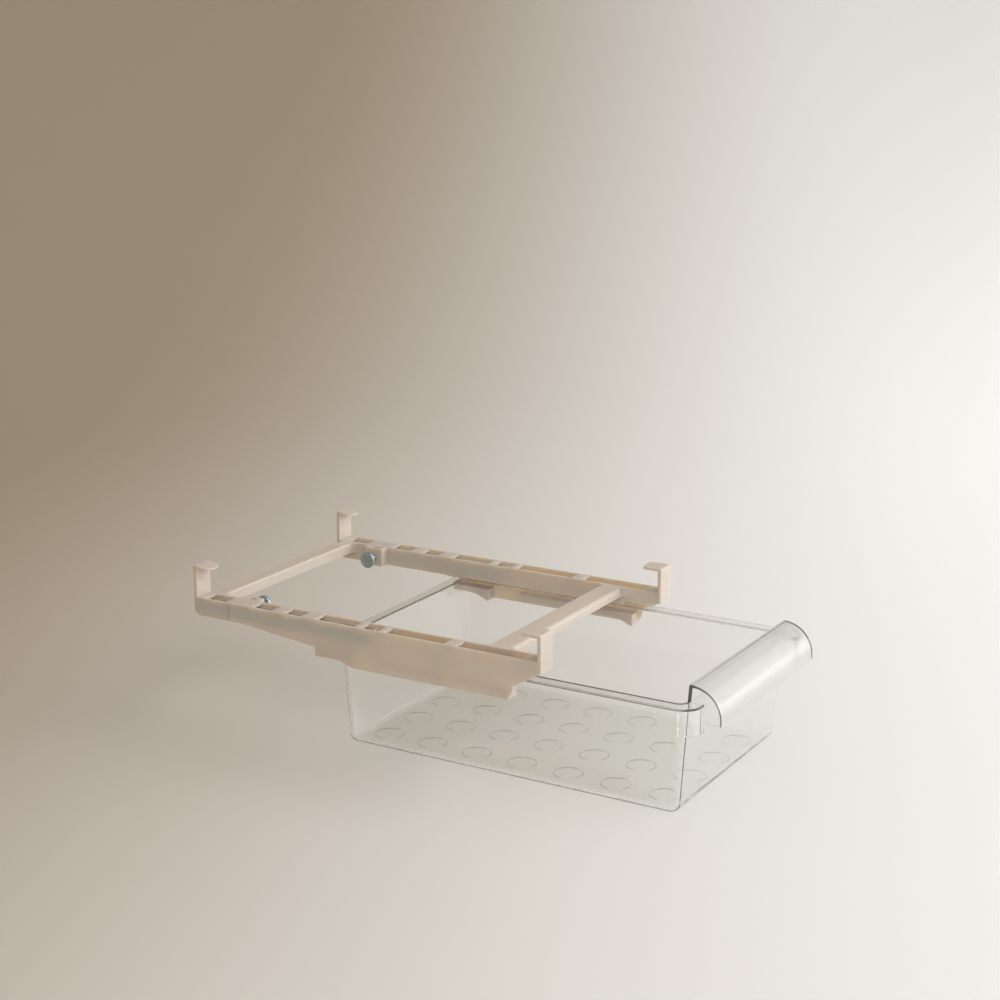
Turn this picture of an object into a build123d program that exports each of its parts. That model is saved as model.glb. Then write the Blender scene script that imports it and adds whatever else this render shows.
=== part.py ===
from build123d import *
import os
from math import radians, sqrt, tan

# Pull-out drawer that hangs under a fridge shelf. X runs across, -Y is the side that the
# drawer opens to, +Z is up. The origin is the middle of the drawer's underside. The drawer
# is modelled pulled out by pull_out, with the frame at its shortest, resting on its rim.
# All sizes are in millimetres.

# ---- Drawer tray ----
base_width = 190.4        # box at its foot, across
base_length = 295.2       # box at its foot, front to back
box_corner_radius = 8.0   # upright corners of the box
box_bottom_radius = 6.5   # edge between walls and underside
wall = 2.0
floor_thickness = 2.2
side_draft = 1.95         # degrees that the walls lean outwards
front_draft = 4.5
rear_draft = 3.4
rim_z = 89.3              # top of the flat rim
rim_thickness = 2.0
rim_side = 11.9           # rim widths measured from the box's inside
rim_rear = 10.9
rim_front = 13.5
rim_corner_radius = 14.0
rim_edge_radius = 0.4
mouth_edge_radius = 0.8
skirt_drop = 20.8         # short skirts that hang from the rim's front corners
skirt_wall = 2.0
skirt_length = 12.5       # front to back

# ---- Handle, one moulding with the tray ----
handle_width = 179.2
handle_radius = 25.0      # outside of the quarter-round hood
handle_rise = 13.3        # top of the hood above the rim
handle_wall = 2.4         # at the crown
handle_lip_wall = 1.3     # the hood thins out towards its lip
handle_lip = 3.4          # straight lip below the quarter round
handle_edge_radius = 1.0
handle_lip_radius = 0.5
cheek_wall = 1.5          # end walls that close the hood

# ---- Round hollows in the underside of the tray's floor ----
hollow_columns = 4
hollow_rows = 7
hollow_pitch_x = 43.4
hollow_pitch_y = 41.8
hollow_radius = 12.0
hollow_top_radius = 11.7
hollow_depth = 0.7

# ---- Frame: two rails on a front bar, and a rear bar on two telescoping arms ----
pull_out = 139.0          # from the closed drawer to the modelled one
stop_gap = 0.8            # left between skirts and runners when the drawer is closed
rim_gap = 0.3             # between the rim and the rails that lie on it
side_gap = 2.3            # between the rim's edge and the rails' outer walls
runner_gap = 0.9          # between the box's widest wall and the runners
rail_width = 16.7
rail_height = 16.4        # web, from its lower edge to the rail's top
rail_top = 2.5            # wall thicknesses of the rail's channel
rail_web = 2.0
rail_wall = 1.6
rail_length = 295.2       # from the front hook's face to the rail's rear end
rail_edge_radius = 0.8
lead_in = 4.0             # the web's lower edge is higher ahead of the front bar

outer_depth = 34.9        # outer wall, from the rail's top to its lower edge at the front
outer_step_depth = 30.8   # the same under the rear runner
outer_mid_depth = 23.4    # where the taper to the rear starts
outer_rear_depth = 16.0   # at the rail's rear end and on the arms
taper_inset = 13.9        # level stretch behind the taper
foot_depth = 9.2          # lower edge under the front hook
foot_length = 9.0         # slope of the web's lower edge behind the foot
foot_chamfer = 1.8        # drop of the outer wall's lower edge under the hook's plate
brow_end = 24.2           # end of the brow's slope, from the front hook's face
brow_depth = 23.1
brow_radius = 12.0        # hollow between the brow and the nose
nose_front = 31.0         # front of the outer wall's lower edge

runner_z = 7.8            # runner's top below the rim's top
runner_thickness = 5.2
nose_length = 14.0        # where a runner's front end deepens into a nose
runner_front = 28.2       # front end of the foremost runner
# Slots in the rail's top, over each runner: start and end from the front hook's face
long_slots = ((17.7, 76.2), (87.0, 142.2), (170.7, 208.4))
# Short slots, over the tabs that carry the arm: start and end from the rail's rear end
short_slots = ((147.2, 130.8), (72.5, 55.5), (43.5, 23.2))
tab_thickness = 1.8
tab_lift = 1.5            # tab's underside above the web's lower edge

front_bar_start = 35.3    # front cross bar
front_bar_width = 19.3
front_bar_height = 7.4
front_bar_radius = 3.2
bar_wall = 2.0
bar_ribs = 5
gusset_radius = 6.0
rear_bar_width = 12.7     # rear cross bar
rear_bar_height = 9.4
rear_bar_gap = 2.1        # between the rear bar and the rear hooks
rear_bar_radius = 1.2

arm_length = 35.2         # full-section part of an arm, from the rail's end to the hook's face
arm_slot = (3.5, 24.2)    # slot in its top, from its front end
arm_corner_radius = 6.0
tongue_length = 140.0     # part of an arm that slides in the rail's channel
tongue_clearance = 0.3
tongue_wall = 1.8
tongue_ribs = 5
joint_gap = 0.3           # between the rail's end and the arm's shoulder

# ---- Hooks over the shelf ----
hook_width = 18.0
hook_plate = 3.2          # thickness of the upright plate
hook_radius = 1.4         # outside of the bend
front_tip_radius = 4.0    # corners of the lips, seen from above
rear_tip_radius = 8.8
front_hook_gap = 18.7     # clear height between the rail's top and the lip
front_hook_reach = 18.0   # whole hook, front to back
front_lip_thickness = 2.3
rear_hook_gap = 23.9
rear_hook_reach = 16.2
rear_lip_root = 3.4       # the rear lips are wedges that thin out to their tips
rear_lip_tip = 1.2

# ---- Clamping screws, each with its nut in a pocket of the rail's boss ----
boss_width = 8.0
boss_length = 19.0
boss_radius = 1.5
screw_inset = 10.2        # screw's axis from the rail's rear end
screw_height = 8.0        # screw's axis above the rim
screw_radius = 2.0
screw_hole_clearance = 0.25
screw_tip_gap = 0.2
tip_chamfer = 0.5
head_radius = 7.2
head_thickness = 3.2
head_edge = 0.4
head_dish_radius = 5.2
head_dish_depth = 0.3
neck_radius = 3.6
neck_length = 2.8
screw_length = 15.8       # from the neck to the tip
nut_across_flats = 7.0
nut_thickness = 3.2
nut_thread_clearance = 0.06
nut_pocket_clearance = 0.2
nut_inset = 2.2           # from the boss's inner face

# ---- Places worked out from the sizes ----
base_half = base_width / 2
mouth_half = base_half + rim_z * tan(radians(side_draft)) - wall
mouth_front_y = -base_length / 2 - rim_z * tan(radians(front_draft)) + wall
mouth_rear_y = base_length / 2 + rim_z * tan(radians(rear_draft)) - wall
rim_half = mouth_half + rim_side
rim_front_y = mouth_front_y - rim_front
rim_rear_y = mouth_rear_y + rim_rear
skirt_end_y = rim_front_y + skirt_length
# The handle's upright wall goes on with the front wall's lean up to the hood's crown
hood_rise = rim_thickness + handle_rise
hood_y = mouth_front_y - hood_rise * tan(radians(front_draft)) - handle_wall / 2

outer_x = rim_half + side_gap + rail_wall
inner_x = outer_x - rail_width
channel_in = inner_x + rail_web
channel_out = outer_x - rail_wall
web_z = rim_z + rim_gap
top_z = web_z + rail_height
under_top_z = top_z - rail_top
runner_x = mouth_half + wall + runner_gap
front_y = skirt_end_y + pull_out + stop_gap - runner_front
rail_end_y = front_y + rail_length
arm_start_y = rail_end_y + joint_gap
rear_y = arm_start_y + arm_length
tab_z = web_z + tab_lift
tab_top_z = tab_z + tab_thickness
tongue_z = tab_top_z + tongue_clearance
screw_y = rail_end_y - screw_inset
screw_z = rim_z + screw_height
boss_x = inner_x - boss_width
tongue_in = channel_in + tongue_clearance
tongue_out = channel_out - tongue_clearance
tip_x = tongue_in - screw_tip_gap


def block(x0, x1, y0, y1, z0, z1):
    """Box between two corners."""
    size = Box(x1 - x0, y1 - y0, z1 - z0)
    return Pos((x0 + x1) / 2, (y0 + y1) / 2, (z0 + z1) / 2) * size


def rounded_plan(half_width, y0, y1, radius, z):
    """Rounded rectangle, symmetric about X = 0, at one height."""
    return Pos(0, (y0 + y1) / 2, z) * RectangleRounded(2 * half_width, y1 - y0, radius)


def side_profile(edges, x0, x1):
    """Closed outline in the YZ plane, extruded across from x0 to x1."""
    face = make_face(Plane.YZ.offset(x0) * edges)
    return extrude(face, x1 - x0, dir=(1, 0, 0))


def mirrored(solid):
    return mirror(solid, Plane.YZ)


# ---------------------------------------------------------------- drawer
def box_plan(z, inset, radius):
    """Outline of the box at a height, drawn in by a wall thickness."""
    return rounded_plan(
        base_half + z * tan(radians(side_draft)) - inset,
        -base_length / 2 - z * tan(radians(front_draft)) + inset,
        base_length / 2 + z * tan(radians(rear_draft)) - inset,
        radius,
        z,
    )


def tapered_box(low_z, inset):
    """Box with leaning walls and a rounded foot, up to the rim's top."""
    radius = box_corner_radius - inset
    body = loft([box_plan(low_z, inset, radius), box_plan(rim_z, inset, radius)], ruled=True)
    foot = body.faces().sort_by(Axis.Z)[0]
    return fillet(foot.edges(), box_bottom_radius - inset)


def floor_hollows():
    """Shallow round hollows in rows over the underside."""
    hollow = Cone(
        hollow_radius,
        hollow_top_radius,
        hollow_depth,
        align=(Align.CENTER, Align.CENTER, Align.MIN),
    )
    grid = GridLocations(hollow_pitch_x, hollow_pitch_y, hollow_columns, hollow_rows)
    return [place * hollow for place in grid]


def corner_skirts():
    """Skirts under the rim's two front corners, ending where the handle starts."""
    low_z = rim_z - skirt_drop
    outer = rounded_plan(rim_half, rim_front_y, rim_rear_y, rim_corner_radius, low_z)
    inner = rounded_plan(
        rim_half - skirt_wall,
        rim_front_y + skirt_wall,
        rim_rear_y - skirt_wall,
        rim_corner_radius - skirt_wall,
        low_z,
    )
    ring = extrude(outer - inner, skirt_drop - rim_thickness)
    corner = block(handle_width / 2, rim_half, rim_front_y, skirt_end_y, low_z, rim_z)
    return ring & (corner + mirrored(corner))


def handle_hood():
    """Upright wall that turns into a quarter-round hood with a short straight lip."""
    back = hood_y + handle_wall / 2
    top = rim_z + handle_rise
    under_z = rim_z - rim_thickness
    centre = (hood_y, top - handle_radius)
    inner_radius = handle_radius - handle_wall
    inner_y = centre[0] + handle_lip_wall - handle_wall
    lip_y = inner_y - inner_radius
    lip_z = centre[1] - handle_lip
    wall_face = back - handle_wall
    inner_top = centre[1] + sqrt(inner_radius**2 - (inner_y - wall_face) ** 2)
    outline = [
        Line((mouth_front_y, under_z), (back, top)),
        Line((back, top), (centre[0], top)),
        CenterArc(centre, handle_radius, 90, 90),
        Line((centre[0] - handle_radius, centre[1]), (centre[0] - handle_radius, lip_z)),
        Line((centre[0] - handle_radius, lip_z), (lip_y, lip_z)),
        Line((lip_y, lip_z), (lip_y, centre[1])),
        ThreePointArc(
            (lip_y, centre[1]),
            (inner_y - inner_radius * sqrt(0.5), centre[1] + inner_radius * sqrt(0.5)),
            (wall_face, inner_top),
        ),
        Line((wall_face, inner_top), (mouth_front_y - handle_wall, under_z)),
        Line((mouth_front_y - handle_wall, under_z), (mouth_front_y, under_z)),
    ]
    hood = side_profile(Wire(outline), -handle_width / 2, handle_width / 2)
    along = hood.edges().filter_by(Axis.X)
    crown = [edge for edge in along if abs(edge.center().Y - back) < 0.01]
    hood = fillet(ShapeList(crown).sort_by(Axis.Z)[-1], handle_edge_radius)
    along = hood.edges().filter_by(Axis.X)
    lip = [edge for edge in along if abs(edge.center().Z - lip_z) < 0.01]
    return fillet(lip, handle_lip_radius)


def handle_cheek():
    """End wall of the hood, from the upright wall and the skirt out to the lip."""
    centre = (hood_y, rim_z + handle_rise - handle_radius)
    radius = handle_radius - handle_lip_wall / 2
    low_z = centre[1] - handle_lip + handle_lip_radius
    skirt_y = rim_front_y + skirt_wall
    under_z = rim_z - rim_thickness
    arc = CenterArc(centre, radius, 90, 90)
    lines = Polyline(
        (centre[0] - radius, centre[1]),
        (centre[0] - radius, low_z),
        (skirt_y, low_z),
        (skirt_y, under_z),
        (mouth_front_y - handle_wall / 2, under_z),
        (centre[0], centre[1] + radius),
    )
    outline = Wire(arc.edges() + lines.edges())
    return side_profile(outline, handle_width / 2 - cheek_wall, handle_width / 2)


def make_drawer():
    low_z = rim_z - rim_thickness
    rim = extrude(
        rounded_plan(rim_half, rim_front_y, rim_rear_y, rim_corner_radius, low_z), rim_thickness
    )
    rim = fillet(rim.faces().sort_by(Axis.Z)[-1].edges(), rim_edge_radius)
    finger_gap = block(
        -handle_width / 2,
        handle_width / 2,
        rim_front_y - 1,
        mouth_front_y - handle_wall,
        low_z - 1,
        rim_z + 1,
    )
    tray = tapered_box(0, 0) + (rim - finger_gap) - tapered_box(floor_thickness, wall)
    mouth = tray.faces().filter_by(Plane.XY).sort_by(Axis.Z)[-1].inner_wires()[0]
    tray = fillet(mouth.edges(), mouth_edge_radius)
    cheek = handle_cheek()
    tray = tray - floor_hollows()
    return tray + corner_skirts() + handle_hood() + cheek + mirrored(cheek)


# ---------------------------------------------------------------- hooks and bars
def hook(face_y, towards, reach, gap, root, tip, low_z, tip_radius):
    """Hook across a rail's end: an upright plate and a lip that points over the shelf."""
    tip_y = face_y + towards * reach
    back_y = face_y + towards * hook_plate
    lip_z = top_z + gap
    points = [
        (face_y, low_z),
        (face_y, lip_z + root),
        (tip_y, lip_z + tip),
        (tip_y, lip_z),
        (back_y, lip_z),
        (back_y, low_z),
    ]
    solid = side_profile(Polyline(*points, close=True), outer_x - hook_width, outer_x)
    across = solid.edges().filter_by(Axis.X)
    bend = [edge for edge in across if abs(edge.center().Y - face_y) < 0.01]
    solid = fillet(ShapeList(bend).sort_by(Axis.Z)[-1], hook_radius)
    upright = solid.edges().filter_by(Axis.Z)
    corners = [edge for edge in upright if abs(edge.center().Y - tip_y) < 0.01]
    return fillet(corners, tip_radius)


def cross_bar(start_y, width, height, radius, ribs):
    """Hollow bar between the rails, open below, with a soft front edge and cross ribs."""
    end_y = start_y + width
    low_z = top_z - height
    bar = block(-inner_x, inner_x, start_y, end_y, low_z, top_z)
    front_edge = bar.edges().filter_by(Axis.X).sort_by(Axis.Z)[-2:].sort_by(Axis.Y)[0]
    bar = fillet(front_edge, radius)
    bar -= block(
        -inner_x, inner_x, start_y + bar_wall, end_y - bar_wall, low_z, top_z - bar_wall - 0.4
    )
    spacing = 2 * inner_x / (ribs + 1)
    for index in range(ribs):
        x = -inner_x + spacing * (index + 1)
        bar += block(
            x - bar_wall / 2, x + bar_wall / 2, start_y + 1, end_y - 1, low_z + 1, top_z - 1
        )
    return bar


def gusset(corner_y, towards, low_z):
    """Rounded fillet where a cross bar runs into the inside of a rail."""
    far_y = corner_y + towards * gusset_radius
    square = block(
        inner_x - gusset_radius,
        inner_x,
        min(corner_y, far_y),
        max(corner_y, far_y),
        low_z,
        top_z,
    )
    round_cut = Pos(inner_x - gusset_radius, far_y, (low_z + top_z) / 2) * Cylinder(
        gusset_radius, top_z - low_z
    )
    return square - round_cut


# ---------------------------------------------------------------- front frame
def outer_wall():
    """Deep outer wall of a rail, with its brow at the front and its taper to the rear."""
    rear_runner = long_slots[-1]
    nose_z = top_z - outer_depth
    points = [
        (0, top_z),
        (rail_length, top_z),
        (rail_length, top_z - outer_rear_depth),
        (rail_length - taper_inset, top_z - outer_rear_depth),
        (rear_runner[1], top_z - outer_mid_depth),
        (rear_runner[1], top_z - outer_step_depth),
        (rear_runner[0] + nose_length, top_z - outer_step_depth),
        (rear_runner[0] + 2, nose_z),
        (nose_front, nose_z),
    ]
    brow = (brow_end, top_z - brow_depth)
    foot = (hook_plate, top_z - foot_depth - foot_chamfer)
    lines = Polyline(*[(front_y + y, z) for y, z in points])
    sweep = RadiusArc(
        (front_y + nose_front, nose_z), (front_y + brow[0], brow[1]), brow_radius
    )
    front = Polyline(
        (front_y + brow[0], brow[1]),
        (front_y + foot[0], foot[1]),
        (front_y, top_z - foot_depth),
        (front_y, top_z),
    )
    return side_profile(Wire(lines.edges() + sweep.edges() + front.edges()), channel_out, outer_x)


def inner_web():
    """Wall of the rail beside the drawer, raised ahead of the front bar."""
    bar_y = front_y + front_bar_start
    points = [
        (front_y, top_z),
        (rail_end_y, top_z),
        (rail_end_y, web_z),
        (bar_y, web_z),
        (bar_y, web_z + lead_in),
        (front_y + foot_length, web_z + lead_in),
        (front_y, top_z - foot_depth),
    ]
    return side_profile(Polyline(*points, close=True), inner_x, channel_in)


def runner(start, end):
    """Ledge that carries the drawer's rim, with a deeper nose at its front end."""
    high_z = rim_z - runner_z
    low_z = high_z - runner_thickness
    points = [
        (front_y + start, high_z),
        (front_y + end, high_z),
        (front_y + end, low_z),
        (front_y + start + nose_length, low_z),
        (front_y + start + 2, top_z - outer_depth),
        (front_y + start, top_z - outer_depth),
    ]
    return side_profile(Polyline(*points, close=True), runner_x, outer_x)


def screw_boss():
    """Boss inside a rail's rear end, with the nut's pocket open to the top."""
    boss = block(
        boss_x, inner_x + rail_web / 2, rail_end_y - boss_length, rail_end_y, web_z, top_z
    )
    corners = boss.edges().filter_by(Axis.Z).group_by(Axis.X)[0]
    boss = fillet(corners, boss_radius)
    flat = nut_across_flats / 2 + nut_pocket_clearance
    corner = nut_across_flats / sqrt(3) + nut_pocket_clearance
    pocket_x = boss_x + nut_inset
    pocket = block(
        pocket_x,
        pocket_x + nut_thickness + 2 * nut_pocket_clearance,
        screw_y - flat,
        screw_y + flat,
        screw_z - corner,
        top_z + 1,
    )
    return boss - pocket


def make_front_frame():
    rail = block(inner_x, outer_x, front_y, rail_end_y, under_top_z, top_z)
    rail += outer_wall() + inner_web()
    over_runners = [(front_y + start, front_y + end) for start, end in long_slots]
    over_tabs = [(rail_end_y - start, rail_end_y - end) for start, end in short_slots]
    for start, end in over_runners + over_tabs:
        rail -= block(channel_in, channel_out, start, end, under_top_z - 1, top_z + 1)
    rim_edge = [
        edge
        for edge in rail.edges().filter_by(Axis.Y)
        if abs(edge.center().X - outer_x) < 0.01 and abs(edge.center().Z - top_z) < 0.01
    ]
    rail = fillet(rim_edge, rail_edge_radius)
    for start, end in long_slots:
        rail += runner(max(start, runner_front), end)
    for start, end in over_tabs:
        rail += block(channel_in - 0.5, channel_out + 0.5, start, end, tab_z, tab_top_z)
    rail += hook(
        front_y,
        1,
        front_hook_reach,
        front_hook_gap,
        front_lip_thickness,
        front_lip_thickness,
        top_z - foot_depth,
        front_tip_radius,
    )
    rail += screw_boss()
    bar_y = front_y + front_bar_start
    rail += gusset(bar_y + front_bar_width, 1, top_z - front_bar_height)
    rail += gusset(bar_y, -1, top_z - front_bar_height)
    hole = Rot(0, 90, 0) * Cylinder(screw_radius + screw_hole_clearance, 4 * boss_width)
    rail -= Pos(inner_x - boss_width / 2, screw_y, screw_z) * hole
    bar = cross_bar(bar_y, front_bar_width, front_bar_height, front_bar_radius, bar_ribs)
    return rail + mirrored(rail) + bar


# ---------------------------------------------------------------- rear frame
def tongue():
    """Open-topped channel that slides inside the rail, stiffened by ribs."""
    start_y = rail_end_y - tongue_length
    high_z = under_top_z - tongue_clearance
    end_y = rear_y - hook_plate
    body = block(tongue_in, tongue_out, start_y, end_y, tongue_z, high_z)
    body -= block(
        tongue_in + tongue_wall,
        tongue_out - tongue_wall,
        start_y + tongue_wall,
        end_y,
        tongue_z + tongue_wall,
        high_z,
    )
    pitch = (tongue_length - tongue_wall) / (tongue_ribs + 1)
    for index in range(tongue_ribs):
        y = start_y + tongue_wall + pitch * (index + 1)
        body += block(
            tongue_in + 1, tongue_out - 1, y - 0.8, y + 0.8, tongue_z + 1, high_z - 2.5
        )
    return body


def make_rear_frame():
    arm = block(inner_x, outer_x, arm_start_y, rear_y, under_top_z, top_z)
    arm += block(inner_x, channel_in, arm_start_y, rear_y, web_z, top_z)
    arm += block(channel_out, outer_x, arm_start_y, rear_y, top_z - outer_rear_depth, top_z)
    arm += block(
        inner_x, outer_x, arm_start_y, arm_start_y + tongue_wall, top_z - outer_rear_depth, top_z
    )
    arm -= block(
        channel_in,
        channel_out,
        arm_start_y + arm_slot[0],
        arm_start_y + arm_slot[1],
        under_top_z - 1,
        top_z + 1,
    )
    rim_edge = [
        edge
        for edge in arm.edges().filter_by(Axis.Y)
        if abs(edge.center().X - outer_x) < 0.01 and abs(edge.center().Z - top_z) < 0.01
    ]
    arm = fillet(rim_edge, rail_edge_radius)
    arm += hook(
        rear_y,
        -1,
        rear_hook_reach,
        rear_hook_gap,
        rear_lip_root,
        rear_lip_tip,
        top_z - outer_rear_depth,
        rear_tip_radius,
    )
    corner_cut = block(
        inner_x - 5,
        outer_x + 1,
        rear_y - arm_corner_radius,
        rear_y + 1,
        web_z - 1,
        top_z - outer_rear_depth + arm_corner_radius,
    )
    corner_round = Pos(
        inner_x, rear_y - arm_corner_radius, top_z - outer_rear_depth + arm_corner_radius
    ) * (Rot(0, 90, 0) * Cylinder(arm_corner_radius, 60))
    arm -= corner_cut - corner_round
    arm += tongue()
    bar_end = rear_y - hook_plate - rear_bar_gap
    arm += gusset(bar_end - rear_bar_width, -1, top_z - rear_bar_height)
    bar = cross_bar(
        bar_end - rear_bar_width, rear_bar_width, rear_bar_height, rear_bar_radius, bar_ribs
    )
    return arm + mirrored(arm) + bar


# ---------------------------------------------------------------- screws and nuts
def make_thumbscrew():
    """Turned clamping screw: dished head, neck and shank, pointing outwards along +X."""
    neck_x = head_thickness
    shank_x = neck_x + neck_length
    tip = shank_x + screw_length
    outline = [
        (head_dish_depth, 0),
        (head_dish_depth, head_dish_radius - head_dish_depth),
        (0, head_dish_radius),
        (0, head_radius - head_edge),
        (head_edge, head_radius),
        (head_thickness - head_edge, head_radius),
        (head_thickness, head_radius - head_edge),
        (neck_x, neck_radius),
        (shank_x, neck_radius),
        (shank_x, screw_radius),
        (tip - tip_chamfer, screw_radius),
        (tip, screw_radius - tip_chamfer),
        (tip, 0),
    ]
    profile = make_face(Polyline(*outline, close=True))
    return Pos(tip_x - tip, screw_y, screw_z) * revolve(profile, Axis.X)


def make_nut():
    hexagon = RegularPolygon(nut_across_flats / sqrt(3), 6)
    blank = extrude(hexagon - Circle(screw_radius + nut_thread_clearance), nut_thickness)
    start_x = boss_x + nut_inset + nut_pocket_clearance
    return Pos(start_x, screw_y, screw_z) * (Rot(0, 90, 0) * blank)


def main():
    screw = make_thumbscrew()
    nut = make_nut()
    parts = {
        "drawer": make_drawer(),
        "front_frame": make_front_frame(),
        "rear_frame": make_rear_frame(),
        "thumbscrew_right": screw,
        "thumbscrew_left": mirrored(screw),
        "nut_right": nut,
        "nut_left": mirrored(nut),
    }
    os.makedirs("parts", exist_ok=True)
    for name, solid in parts.items():
        export_step(solid, f"parts/{name}.step")


main()
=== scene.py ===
# %% [markdown]
# # A drawer that hangs under a refrigerator shelf
# The real object is a clear tray that slides in a cream plastic frame. The frame hooks over a
# shelf, and its rear half telescopes and is clamped by two zinc thumbscrews.
# The solids come from the CAD model and never move here. This lesson gives them their looks:
# soft moulded edges, screw threads and finishes, on a plain floor in soft light.

# %% Load the fixed frame
from math import cos, pi, radians, sin

import bmesh
import bpy
from mathutils import Matrix, Vector
from mathutils.bvhtree import BVHTree
from mathutils.kdtree import KDTree


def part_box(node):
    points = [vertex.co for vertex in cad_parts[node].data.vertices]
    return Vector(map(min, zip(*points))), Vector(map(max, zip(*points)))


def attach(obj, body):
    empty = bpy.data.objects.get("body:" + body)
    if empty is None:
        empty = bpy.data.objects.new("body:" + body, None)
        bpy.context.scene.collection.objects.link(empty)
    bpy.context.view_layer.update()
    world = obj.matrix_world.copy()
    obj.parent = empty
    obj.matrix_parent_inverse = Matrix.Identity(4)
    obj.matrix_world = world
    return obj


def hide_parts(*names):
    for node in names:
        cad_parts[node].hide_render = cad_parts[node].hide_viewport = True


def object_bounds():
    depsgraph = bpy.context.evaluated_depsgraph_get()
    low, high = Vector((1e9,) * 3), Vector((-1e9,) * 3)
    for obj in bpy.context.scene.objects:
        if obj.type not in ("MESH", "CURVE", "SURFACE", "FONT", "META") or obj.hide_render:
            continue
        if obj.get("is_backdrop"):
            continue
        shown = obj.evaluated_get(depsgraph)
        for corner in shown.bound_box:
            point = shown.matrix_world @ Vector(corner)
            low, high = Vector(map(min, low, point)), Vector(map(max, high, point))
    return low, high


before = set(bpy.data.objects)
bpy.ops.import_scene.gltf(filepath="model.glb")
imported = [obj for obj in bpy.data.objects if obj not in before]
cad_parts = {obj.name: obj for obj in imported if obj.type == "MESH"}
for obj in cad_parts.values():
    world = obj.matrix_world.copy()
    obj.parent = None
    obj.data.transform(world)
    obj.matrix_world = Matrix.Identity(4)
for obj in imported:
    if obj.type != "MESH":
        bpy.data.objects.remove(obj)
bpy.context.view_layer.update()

# %% [markdown]
# ## Camera
# The photograph was taken from the left front, a little above the frame. Its place was worked
# out once from edges of known size, so it is written here as numbers: where the camera stands,
# the compass direction it looks in, and how far it looks down. A long lens keeps edges nearly
# parallel, which is usual for product pictures.

# %% Camera
camera_place = (-1.3038, -0.7038, 0.5790)
heading, down, tilt = radians(30.341), radians(14.286), radians(0.133)

camera = bpy.data.objects.new("camera", bpy.data.cameras.new("camera"))
bpy.context.scene.collection.objects.link(camera)
bpy.context.scene.camera = camera
camera.data.sensor_width = 36
camera.data.lens = 69.09

ahead = Vector((cos(heading) * cos(down), sin(heading) * cos(down), -sin(down)))
right = Vector((sin(heading), -cos(heading), 0))
above = right.cross(ahead)
across = right * cos(tilt) + above * sin(tilt)
upward = above * cos(tilt) - right * sin(tilt)
axes = Matrix((across, upward, -ahead)).transposed().to_4x4()
camera.matrix_world = Matrix.Translation(camera_place) @ axes
print("camera stands", round(camera.location.length, 2), "m from the tray")

# %% [markdown]
# ## Node helpers
# Every finish below is a small tree of shader nodes. These helpers make a material with its
# Principled shader, add nodes, and join them, so that each finish reads as a short recipe.
# Two kinds of node come up again and again: one that turns a value from one range into
# another, and one that blends two colours. Both get a helper of their own.


# %% Material and node helpers
def new_material(name):
    """A material with nodes, its node tree and its Principled shader."""
    material = bpy.data.materials.new(name)
    material.use_nodes = True
    tree = material.node_tree
    return material, tree, tree.nodes["Principled BSDF"]


def add_node(tree, kind, settings=None, inputs=None):
    """Adds a node, sets its settings, and fills its inputs with values or links."""
    node = tree.nodes.new(kind)
    for key, value in (settings or {}).items():
        setattr(node, key, value)
    for key, value in (inputs or {}).items():
        if isinstance(value, bpy.types.NodeSocket):
            tree.links.new(value, node.inputs[key])
        else:
            node.inputs[key].default_value = value
    return node


# %% Helpers for sums, noises, ranges and blends
def sum_of(tree, operation, *values):
    """A Math node's result for the given values."""
    node = add_node(tree, "ShaderNodeMath", {"operation": operation}, dict(enumerate(values)))
    return node.outputs["Value"]


def noise(tree, place, scale, detail, distortion=0.0):
    """A cloudy pattern from 0 to 1 over the given coordinates."""
    sizes = {"Vector": place, "Scale": scale, "Detail": detail, "Distortion": distortion}
    return add_node(tree, "ShaderNodeTexNoise", None, sizes).outputs["Fac"]


def ranged(tree, value, to_min, to_max, from_min=0.0, from_max=1.0, shape="LINEAR"):
    """The value, moved from one range into another."""
    ends = {"From Min": from_min, "From Max": from_max, "To Min": to_min, "To Max": to_max}
    node = add_node(
        tree, "ShaderNodeMapRange", {"interpolation_type": shape}, {"Value": value, **ends}
    )
    return node.outputs["Result"]


def blend_colours(tree, share, first, second):
    """The first colour where the share is 0, the second where it is 1."""
    node = add_node(tree, "ShaderNodeMix", {"data_type": "RGBA"}, {"Factor": share})
    colour_a, colour_b, colour_out = node.inputs[6], node.inputs[7], node.outputs[2]
    for socket, colour in ((colour_a, first), (colour_b, second)):
        if isinstance(colour, bpy.types.NodeSocket):
            tree.links.new(colour, socket)
        else:
            socket.default_value = colour
    return colour_out


# %% [markdown]
# ### Groups
# An effect that several finishes share is a node group: built once, with named inputs and
# outputs, and then placed in each material with that material's own values.


# %% Group helpers
COLOR, FLOAT = "NodeSocketColor", "NodeSocketFloat"


def new_group(name, inputs, outputs):
    """A shader node group with named sockets, its input node and its output node."""
    group = bpy.data.node_groups.new(name, "ShaderNodeTree")
    for title, kind, value in inputs:
        socket = group.interface.new_socket(title, in_out="INPUT", socket_type=kind)
        socket.default_value = value
    for title, kind in outputs:
        group.interface.new_socket(title, in_out="OUTPUT", socket_type=kind)
    return group, group.nodes.new("NodeGroupInput"), group.nodes.new("NodeGroupOutput")


def use_group(tree, group, **values):
    """Places a group in a material's tree with its own values."""
    node = tree.nodes.new("ShaderNodeGroup")
    node.node_tree = group
    for key, value in values.items():
        node.inputs[key.replace("_", " ")].default_value = value
    return node


# %% [markdown]
# ## Floor and studio
# The object stands on a pale sweep: a floor that curves up into a wall with no corner to see.
# A round sweep looks the same from every side, so any camera sees a plain background. It is
# made by turning one profile about the upright axis, like a shallow bowl with a flat bottom.
# It lies a hair below the tray, so that two faces never share one height and flicker.

# %% Sweep
floor_radius, cove_radius, wall_top = 1.2, 3.2, 3.6
floor_rings, cove_steps, sides = (0.0, 0.4, 0.8, floor_radius), 24, 96
below_tray = 0.0002

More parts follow.
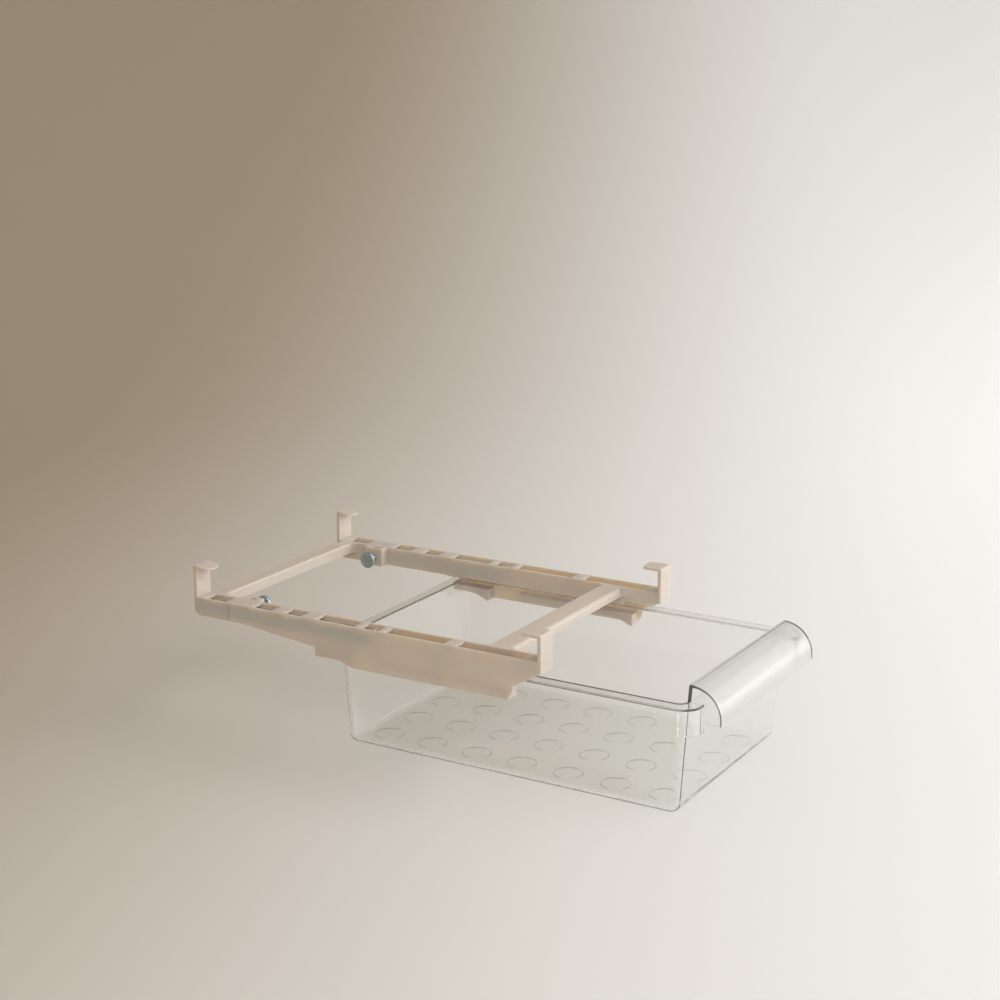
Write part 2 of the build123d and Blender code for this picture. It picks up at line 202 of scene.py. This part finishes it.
profile = [(radius, 0.0) for radius in floor_rings]
for step in range(1, cove_steps + 1):
    turn = radians(90 * step / cove_steps)
    profile.append((floor_radius + cove_radius * sin(turn), cove_radius * (1 - cos(turn))))
profile.append((floor_radius + cove_radius, wall_top))

sweep_mesh = bmesh.new()
angles = [2 * pi * n / sides for n in range(sides)]
rings = []
for radius, height in profile:
    if radius == 0:
        rings.append([sweep_mesh.verts.new((0, 0, height))] * sides)
        continue
    ring = [(radius * cos(angle), radius * sin(angle), height) for angle in angles]
    rings.append([sweep_mesh.verts.new(place) for place in ring])
for inner, outer in zip(rings, rings[1:]):
    for n in range(sides):
        m = (n + 1) % sides
        corners = [inner[n], outer[n], outer[m], inner[m]]
        sweep_mesh.faces.new(list(dict.fromkeys(corners))).smooth = True

sweep = bpy.data.objects.new("sweep", bpy.data.meshes.new("sweep"))
sweep_mesh.to_mesh(sweep.data)
sweep_mesh.free()
sweep.location.z = -below_tray
bpy.context.scene.collection.objects.link(sweep)
sweep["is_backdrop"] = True
print("sweep faces:", len(sweep.data.polygons))

# %% [markdown]
# ### Sweep paint
# In the picture the background runs from a sandy shade on the left to near white on the right.
# A lamp alone would need to burn out the object to do that, so most of that light and shade is
# painted: a soft step from a painted shade colour on the left to a painted light colour on the
# right, along one level direction in the room. That direction leans a little towards the camera,
# because the far left is the darkest part. A faint noise breaks it up, as no wall is quite even.
# The paint is matt, so that the lamps leave no bright spot in it.

# %% Sweep paint
# Painted light and shade: the sweep is painted darker and warmer on the left and near white on
# the right, in place of light falling off across the room.
painted_shade, painted_light = (0.455, 0.38, 0.285, 1), (0.975, 0.985, 1.0, 1)
painted_shade_until, painted_light_from, lean, unevenness = -0.87, 0.42, 0.13, 0.015
towards_painted_light = right - Vector((ahead.x, ahead.y, 0)) * lean

paint, tree, shader = new_material("sweep_paint")
place = add_node(tree, "ShaderNodeTexCoord").outputs["Object"]
side = add_node(
    tree, "ShaderNodeVectorMath", {"operation": "DOT_PRODUCT"}, {0: place, 1: towards_painted_light}
)
share = ranged(
    tree, side.outputs["Value"], 0.0, 1.0, painted_shade_until, painted_light_from, shape="SMOOTHSTEP"
)
uneven = ranged(tree, noise(tree, place, scale=1.1, detail=2.0), -unevenness, unevenness)
tone = blend_colours(tree, sum_of(tree, "ADD", share, uneven), painted_shade, painted_light)
tree.links.new(tone, shader.inputs["Base Color"])
shader.inputs["Roughness"].default_value = 0.85
shader.inputs["Specular IOR Level"].default_value = 0.2
sweep.data.materials.append(paint)
print("sweep paint turns from sandy to white over", round(painted_light_from - painted_shade_until, 2), "m")

# %% [markdown]
# ## Light
# One large soft lamp stands at the camera's right, like a window, and lights the sides that
# face the front. A weak warm one on the left keeps the shaded sides readable, and a third only
# lifts the backdrop behind the tray. The world is a warm room at about half strength, which
# fills the rest. Clear plastic looks clear by what it bends and mirrors, and its edges turn dark
# where they show something darker than the floor, such as the side of the sweep painted in
# shade.


# %% Lamps and world
def soft_lamp(name, place, aim, size, power, colour):
    """A square area lamp that points at a spot. Sizes are in m, power in W."""
    lamp = bpy.data.objects.new(name, bpy.data.lights.new(name, "AREA"))
    lamp.data.size = size
    lamp.data.energy = power
    lamp.data.color = colour
    lamp.location = place
    lamp.rotation_euler = (Vector(aim) - Vector(place)).to_track_quat("-Z", "Y").to_euler()
    bpy.context.scene.collection.objects.link(lamp)
    print(name, "stands", round(Vector(place).length, 2), "m from the tray")


tray_middle, backdrop = (0, 0, 0.05), (3.0, 0.5, 0.2)
daylight, lamplight, white = (0.985, 0.99, 1.0), (1.0, 0.94, 0.85), (1.0, 1.0, 1.0)
soft_lamp("window", (1.0, -2.1, 1.35), tray_middle, size=2.4, power=51, colour=daylight)
soft_lamp("front_fill", (-2.0, -1.0, 1.3), tray_middle, size=2.2, power=12, colour=lamplight)
soft_lamp("backdrop_light", (1.75, -1.0, 1.1), backdrop, size=1.2, power=8, colour=white)

world = bpy.data.worlds.new("room")
bpy.context.scene.world = world
world.use_nodes = True
room = world.node_tree.nodes["Background"]
room.inputs["Color"].default_value = (1.0, 0.945, 0.86, 1)
room.inputs["Strength"].default_value = 0.53
bpy.context.scene.view_settings.view_transform = "Standard"

# %% [markdown]
# ## Shared surface effects
# Injection-moulded plastic is never one flat colour. Where the melt flowed and cooled, the
# colour and gloss drift a little over centimetres, and the steel mould leaves a fine satin
# grain. Both are the same effect at two scales, so one group serves all the plastics here.

# %% Moulded surface group
moulded, given, made = new_group(
    "moulded_surface",
    [
        ("Colour", COLOR, (0.8, 0.8, 0.8, 1)),
        ("Flow Colour", COLOR, (0.7, 0.7, 0.7, 1)),
        ("Flow Scale", FLOAT, 30.0),
        ("Grain Scale", FLOAT, 2500.0),
        ("Gloss Low", FLOAT, 0.3),
        ("Gloss High", FLOAT, 0.4),
    ],
    [("Colour", COLOR), ("Roughness", FLOAT), ("Height", FLOAT)],
)
given = given.outputs
spot = add_node(moulded, "ShaderNodeTexCoord").outputs["Object"]
flow = noise(moulded, spot, given["Flow Scale"], detail=3.0, distortion=0.6)
grain = noise(moulded, spot, given["Grain Scale"], detail=2.0)
drift = ranged(moulded, flow, 0.0, 1.0, from_min=0.35, from_max=0.7)
colour = blend_colours(moulded, drift, given["Colour"], given["Flow Colour"])
gloss = ranged(
    moulded, flow, given["Gloss Low"], given["Gloss High"], from_min=0.3, from_max=0.7
)
moulded.links.new(colour, made.inputs["Colour"])
moulded.links.new(gloss, made.inputs["Roughness"])
moulded.links.new(grain, made.inputs["Height"])
print("moulded surface group:", len(moulded.nodes), "nodes")

# %% [markdown]
# ## Cream plastic
# The frame is a warm cream moulding, slightly translucent: light that enters a thin wall comes
# out warmer, which is why its slots and pockets glow. Subsurface scattering with a longer
# reach for red gives that glow. The grain goes to a very weak bump, since a real satin grain
# is felt and seen as gloss more than as relief.

# %% Cream plastic
cream, tree, shader = new_material("cream_plastic_finish")
surface = use_group(
    tree,
    moulded,
    Colour=(0.63, 0.565, 0.515, 1),
    Flow_Colour=(0.61, 0.54, 0.485, 1),
    Flow_Scale=24.0,
    Grain_Scale=1800.0,
    Gloss_Low=0.38,
    Gloss_High=0.48,
)
relief = {"Height": surface.outputs["Height"], "Strength": 0.12, "Distance": 0.0001}
bump = add_node(tree, "ShaderNodeBump", None, relief)
tree.links.new(surface.outputs["Colour"], shader.inputs["Base Color"])
tree.links.new(surface.outputs["Roughness"], shader.inputs["Roughness"])
tree.links.new(bump.outputs["Normal"], shader.inputs["Normal"])
shader.inputs["Subsurface Weight"].default_value = 0.62
shader.inputs["Subsurface Radius"].default_value = (1.0, 0.65, 0.4)
shader.inputs["Subsurface Scale"].default_value = 0.009
shader.inputs["IOR"].default_value = 1.49
print(cream.name, "nodes:", len(tree.nodes))

# %% [markdown]
# ## Clear plastic
# The tray is clear styrene: it bends light like glass, and its thick edges look grey-green.
# The wall has real thickness, so the shader mainly needs the right index. A little of the
# light is kept from passing, for the faint haze of a moulded wall. The hood of the handle
# looks milky in the picture, so a mask over the tray's own coordinates finds it, between the
# two cheeks and in front of the tray's mouth, and makes it rougher: a light frosting.

# %% Clear plastic
clear_index, clear_share = 1.57, 0.975
hood_back, hood_half_width, hood_frosting = -0.1565, 0.0885, 0.16

clear, tree, shader = new_material("clear_plastic_finish")
surface = use_group(
    tree,
    moulded,
    Colour=(0.988, 0.994, 0.99, 1),
    Flow_Colour=(0.98, 0.988, 0.984, 1),
    Flow_Scale=18.0,
    Grain_Scale=900.0,
    Gloss_Low=0.0,
    Gloss_High=0.05,
)
place = add_node(tree, "ShaderNodeTexCoord").outputs["Object"]
spot = add_node(tree, "ShaderNodeSeparateXYZ", None, {"Vector": place})
in_front = sum_of(tree, "LESS_THAN", spot.outputs["Y"], hood_back)
from_middle = sum_of(tree, "ABSOLUTE", spot.outputs["X"])
between_cheeks = sum_of(tree, "LESS_THAN", from_middle, hood_half_width)
on_hood = sum_of(tree, "MULTIPLY", in_front, between_cheeks)
frosted = add_node(
    tree,
    "ShaderNodeMix",
    {"data_type": "FLOAT"},
    {0: on_hood, 2: surface.outputs["Roughness"], 3: hood_frosting},
)
tree.links.new(surface.outputs["Colour"], shader.inputs["Base Color"])
tree.links.new(frosted.outputs[0], shader.inputs["Roughness"])
shader.inputs["Transmission Weight"].default_value = clear_share
shader.inputs["IOR"].default_value = clear_index
print(clear.name, "nodes:", len(tree.nodes))

# %% [markdown]
# ### Light through the clear walls
# A renderer can't find its way to a lamp through curved glass in few samples, and the tray
# would stand in a black shadow. So for rays that look for a lamp, and for light that has
# bounced off something matt, the wall is a plain, faintly tinted transparent sheet. The camera
# and the mirrored and bent rays still see real glass.

# %% Light through the clear walls
sheet = add_node(tree, "ShaderNodeBsdfTransparent", None, {"Color": (0.965, 0.97, 0.965, 1)})
ray = add_node(tree, "ShaderNodeLightPath")
plain_ray = sum_of(tree, "MAXIMUM", ray.outputs["Is Shadow Ray"], ray.outputs["Is Diffuse Ray"])
wall = add_node(
    tree,
    "ShaderNodeMixShader",
    None,
    {0: plain_ray, 1: shader.outputs["BSDF"], 2: sheet.outputs["BSDF"]},
)
tree.links.new(wall.outputs["Shader"], tree.nodes["Material Output"].inputs["Surface"])

# %% [markdown]
# ## Zinc
# The thumbscrews and nuts are steel with a bright blue-white zinc plating. Handling dulls the
# plating in patches, so one noise moves both its colour and its roughness. A second, much
# finer one gives the bump that the cutting tool leaves.

# %% Zinc
dull_zinc, bright_zinc = (0.32, 0.42, 0.48, 1), (0.50, 0.59, 0.65, 1)

zinc, tree, shader = new_material("zinc_finish")
place = add_node(tree, "ShaderNodeTexCoord").outputs["Object"]
patches = noise(tree, place, scale=260.0, detail=4.0)
cut = noise(tree, place, scale=2600.0, detail=2.0)
plating = blend_colours(tree, patches, dull_zinc, bright_zinc)
relief = {"Height": cut, "Strength": 0.15, "Distance": 0.00005}
bump = add_node(tree, "ShaderNodeBump", None, relief)
dullness = ranged(tree, patches, to_min=0.18, to_max=0.42)
tree.links.new(plating, shader.inputs["Base Color"])
tree.links.new(dullness, shader.inputs["Roughness"])
tree.links.new(bump.outputs["Normal"], shader.inputs["Normal"])
shader.inputs["Metallic"].default_value = 1.0
print(zinc.name, "nodes:", len(tree.nodes))

# %% [markdown]
# ## The two frame mouldings
# A mould's edges are never perfectly sharp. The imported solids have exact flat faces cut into
# triangles, so each moulding is a copy: its triangles are merged back into whole faces, and
# then every sharp edge gets a small round. The rounds catch the light and show the forms.
# A round's width is a weight on its edge, so it can be narrower where edges are short. Even
# so, where edges crowd together two rounds can run into each other and fold a face over. The
# helpers here look for such folds: two sides of one face that cross.


# %% Find folded faces
def crossing(a, b, c, d):
    """The point where the flat segments a-b and c-d cross, or None."""
    hair, parallel = 1e-6, 1e-16
    first, second, between = b - a, d - c, c - a
    spread = first.cross(second)
    if abs(spread) < parallel:
        return None
    along, across = between.cross(second) / spread, between.cross(first) / spread
    if hair < along < 1 - hair and hair < across < 1 - hair:
        return a + first * along
    return None


def folded_spots(mesh, reach):
    """Corners of faces that cross themselves, near each crossing."""
    spots = []
    for face in mesh.polygons:
        corners = [mesh.vertices[n].co for n in face.vertices]
        drop = max(range(3), key=lambda axis: abs(face.normal[axis]))
        flat = [Vector([c[axis] for axis in range(3) if axis != drop]) for c in corners]
        count = len(flat)
        for n in range(count - 2):
            for m in range(n + 2, count - (n == 0)):
                ends = (n, n + 1, m, (m + 1) % count)
                meeting = crossing(*(flat[k] for k in ends))
                if meeting:
                    gaps = sorted((flat[k] - meeting).length for k in ends)
                    near = max(reach, gaps[0] * 1.01)
                    spots += [corners[k] for k in ends if (flat[k] - meeting).length <= near]
    return spots


# %% [markdown]
# ### Whole faces and weighted edges
# Triangles that turn by less than 0.4 degrees from each other were one face of the solid, so
# they are merged. What still turns by more than 40 degrees is an edge of the mould. Its weight
# is 1 for a full round, and less where a neighbouring edge is too short to hold one.


# %% Whole faces and weighted edges
def whole_faces(source, radius):
    """A bmesh of the source with merged faces, and its layer of bevel weights."""
    same_spot, same_face, mould_edge, short_share = 1e-6, radians(0.4), radians(40), 0.4
    shape = bmesh.new()
    shape.from_mesh(source)
    bmesh.ops.remove_doubles(shape, verts=shape.verts, dist=same_spot)
    bmesh.ops.dissolve_limit(
        shape, angle_limit=same_face, verts=shape.verts[:], edges=shape.edges[:]
    )
    for face in shape.faces:
        face.smooth = True
    weight = shape.edges.layers.float.new("bevel_weight_edge")
    for edge in shape.edges:
        if edge.calc_face_angle(0) > mould_edge:
            near = [other.calc_length() for vert in edge.verts for other in vert.link_edges]
            edge[weight] = min(1.0, short_share * min(near) / radius)
    return shape, weight


def bevel_modifier(piece, radius):
    """Rounds of two segments on the weighted edges, with even shading beside them."""
    edges = piece.modifiers.new("soft_edges", "BEVEL")
    edges.width = radius
    edges.segments = 2
    edges.limit_method = "WEIGHT"
    edges.use_clamp_overlap = False
    edges.harden_normals = True


# %% [markdown]
# ### Rounds without faults
# The rounds are made, and then tested: no face may be folded, and no vertex may stray from the
# solid's surface. Near each fault the weights go to zero, which leaves those few edges sharp,
# and the rounds are made again until none is left. At last the modifier's result is kept as
# the piece's mesh. Its vertices are held inside the solid's own box, because a round on a
# leaning wall can push a corner out of it by a few hundredths of a millimetre.


# %% Rounds without faults
def leave_sharp(shape, weight, spots, reach):
    """Takes the weight off the edges near each spot."""
    tree = KDTree(len(shape.verts))
    for vert in shape.verts:
        tree.insert(vert.co, vert.index)
    tree.balance()
    shape.verts.ensure_lookup_table()
    for spot in spots:
        for _, index, _ in tree.find_range(spot, reach) or [tree.find(spot)]:
            for edge in shape.verts[index].link_edges:
                edge[weight] = 0.0


def rounded_mesh(piece, shape):
    """The piece's mesh as its modifier makes it from the shape."""
    shaded_sharp = radians(32)
    shape.to_mesh(piece.data)
    stored = piece.data.attributes.get("custom_normal")
    if stored:
        piece.data.attributes.remove(stored)
    piece.data.set_sharp_from_angle(angle=shaded_sharp)
    depsgraph = bpy.context.evaluated_depsgraph_get()
    return bpy.data.meshes.new_from_object(piece.evaluated_get(depsgraph))


def rounded_copy(node, name, radius):
    """A copy of a CAD node with whole flat faces and softly rounded edges."""
    most_attempts, reach, stray_from = 8, 3 * radius, 0.8 * radius
    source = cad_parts[node].data
    surface = BVHTree.FromPolygons(
        [vert.co for vert in source.vertices], [face.vertices for face in source.polygons]
    )
    shape, weight = whole_faces(source, radius)
    piece = bpy.data.objects.new(name, bpy.data.meshes.new(name))
    bpy.context.scene.collection.objects.link(piece)
    bevel_modifier(piece, radius)
    for attempt in range(most_attempts):
        rounded = rounded_mesh(piece, shape)
        strays = {
            vert.index
            for vert in rounded.vertices
            if surface.find_nearest(vert.co)[3] > stray_from
        }
        spots = folded_spots(rounded, reach)
        for edge in rounded.edges:
            spots += [rounded.vertices[n].co for n in edge.vertices if strays & {*edge.vertices}]
        if not spots:
            break
        leave_sharp(shape, weight, spots, reach)
    print(name, "attempts:", attempt + 1, "folds left:", len(spots), "strays:", len(strays))
    shape.free()
    low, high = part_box(node)
    for vert in rounded.vertices:
        vert.co = [min(max(vert.co[axis], low[axis]), high[axis]) for axis in range(3)]
    piece.modifiers.clear()
    piece.data = rounded
    return piece


# %% [markdown]
# ### Frame mouldings
# Both halves of the frame come from the same kind of mould, so they get the same round of
# about a third of a millimetre and the same cream. Each visible piece rides on the body that
# carries it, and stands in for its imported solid, which is hidden then.


# %% Frame mouldings
def dress(piece, body, material):
    """Gives a piece its body and finish."""
    piece.data.materials.clear()
    piece.data.materials.append(material)
    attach(piece, body)


moulded_round = 0.00035
for node in ("front_frame", "rear_frame"):
    piece = rounded_copy(node, node + "_moulding", moulded_round)
    dress(piece, node, cream)
    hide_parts(node)
    print(piece.name, "faces:", len(piece.data.polygons))

# %% [markdown]
# ## The clear tray
# The tray's solid already has its wall thickness, rounded foot and rim, and exact normals on
# its curved faces, which matter most in clear plastic. It stays as it is and gets the finish.

# %% Tray finish
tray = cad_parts["drawer"]
tray.data.materials.clear()
tray.data.materials.append(clear)
print("tray faces:", len(tray.data.polygons))

# %% [markdown]
# ## Thumbscrews
# Each screw is turned from steel: a thin dished head with a knurled rim, a neck, and an M4
# shank with a rolled thread. All of it is one outline turned about the screw's axis, so a
# single lathe helper makes it. Knurl and thread are changes of radius: the first repeats
# round the rim, the second climbs along the shank by one pitch per turn.


# %% Lathe helper
def lathe(name, outline, steps, radius_at, place):
    """Turns an outline of (x, r) about the X axis. radius_at(x, r, angle) gives the radius."""
    shaded_sharp = radians(35)
    shape = bmesh.new()
    rings = []
    for x, r in outline:
        if r == 0:
            rings.append([shape.verts.new((x, 0, 0))] * steps)
            continue
        ring = []
        for n in range(steps):
            angle = 2 * pi * n / steps
            size = radius_at(x, r, angle)
            ring.append(shape.verts.new((x, size * cos(angle), size * sin(angle))))
        rings.append(ring)
    for first, second in zip(rings, rings[1:]):
        for n in range(steps):
            m = (n + 1) % steps
            corners = list(dict.fromkeys([first[n], first[m], second[m], second[n]]))
            if len(corners) > 2:
                shape.faces.new(corners).smooth = True
    bmesh.ops.transform(shape, matrix=place, verts=shape.verts)
    bmesh.ops.recalc_face_normals(shape, faces=shape.faces)
    piece = bpy.data.objects.new(name, bpy.data.meshes.new(name))
    shape.to_mesh(piece.data)
    shape.free()
    piece.data.set_sharp_from_angle(angle=shaded_sharp)
    bpy.context.scene.collection.objects.link(piece)
    return piece


# %% [markdown]
# ### The screw's outline
# Sizes are in mm along the axis, from the head's face to the tip. The face is dished by a
# third of a millimetre, corners are broken, and the shank has eight rings to each turn of
# thread, which is enough for a smooth flank.

# %% Screw outline
head_radius, head_thickness, dish, knurl_depth, knurls = 7.2, 3.2, 0.3, 0.22, 40
rim_start, rim_end = 0.4, 2.8
neck_radius, neck_end = 3.6, 6.0
shank_radius, shank_start, screw_end = 2.0, 6.1, 21.8
pitch, thread_depth, thread_start, thread_rings = 0.7, 0.36, 6.3, 173

face = [(dish, 0), (dish, 4.9), (0.12, 5.15), (0, 5.4), (0, 6.7), (0.12, 7.0)]
rim = [(rim_start, head_radius), (rim_end, head_radius), (3.08, 7.0), (head_thickness, 6.7)]
neck = [(head_thickness, 3.9), (3.35, 3.65), (3.6, neck_radius), (5.6, neck_radius)]
foot = [(5.9, 3.4), (neck_end, 3.1), (neck_end, 2.1), (shank_start, shank_radius)]
thread = [(shank_start + pitch / 8 * n, shank_radius) for n in range(1, thread_rings + 1)]
tip = [(21.5, 1.75), (screw_end, 1.5), (screw_end, 0)]
outline = face + rim + neck + foot + thread + tip
print("screw outline:", len(outline), "points over", screw_end, "mm")


def screw_radius(x, r, angle):
    """Knurl on the head's rim and a rolled thread on the shank, in mm."""
    if r == head_radius and rim_start <= x <= rim_end:
        return r - knurl_depth * (0.5 + 0.5 * cos(knurls * angle))
    if r == shank_radius and x > thread_start:
        climb = (x / pitch - angle / (2 * pi)) % 1.0
        return r - thread_depth * (1 - abs(2 * climb - 1))
    return r


# %% [markdown]
# ### Two mirrored screws
# The screws face each other across the frame, heads inward. The outline is laid from the head
# of each packed screw outwards, so the left one runs the other way along the axis.

# %% Thumbscrews
mm, steps_around = 0.001, 160
for side, outwards in (("left", -1), ("right", 1)):
    low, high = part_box("thumbscrew_" + side)
    head_face = low.x if side == "right" else high.x
    middle = (low + high) / 2
    place = Matrix.Translation((head_face, middle.y, middle.z))
    piece = lathe(
        "thumbscrew_" + side + "_turned",
        [(x * mm, r) for x, r in outline],
        steps_around,
        lambda x, r, angle: screw_radius(x * 1000, r, angle) * mm,
        place @ Matrix.Diagonal((outwards, 1, 1, 1)),
    )
    dress(piece, "thumbscrew_" + side, zinc)
    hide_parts("thumbscrew_" + side)
    print(piece.name, "faces:", len(piece.data.polygons))

# %% [markdown]
# ## Nuts
# A nut sits captive in each boss of the front frame and shows only through the pocket's open
# top. Its solid has the right form, so it gets the same treatment as the mouldings with a
# finer round, as on a stamped and plated edge, and the screws' zinc.

# %% Nuts
nut_round = 0.0002
for side in ("left", "right"):
    piece = rounded_copy("nut_" + side, "nut_" + side + "_chamfered", nut_round)
    dress(piece, "front_frame", zinc)
    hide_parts("nut_" + side)

# %% [markdown]
# ## The looks must not change the object's size, so the box of the shown object, without the sweep, is printed in mm.
# The looks must not change the object's size, so both boxes are written out and compared.

# %% Sizes and finish
low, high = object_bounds()
print("visual box in mm:", [round(v * 1000, 1) for v in (*low, *high)])
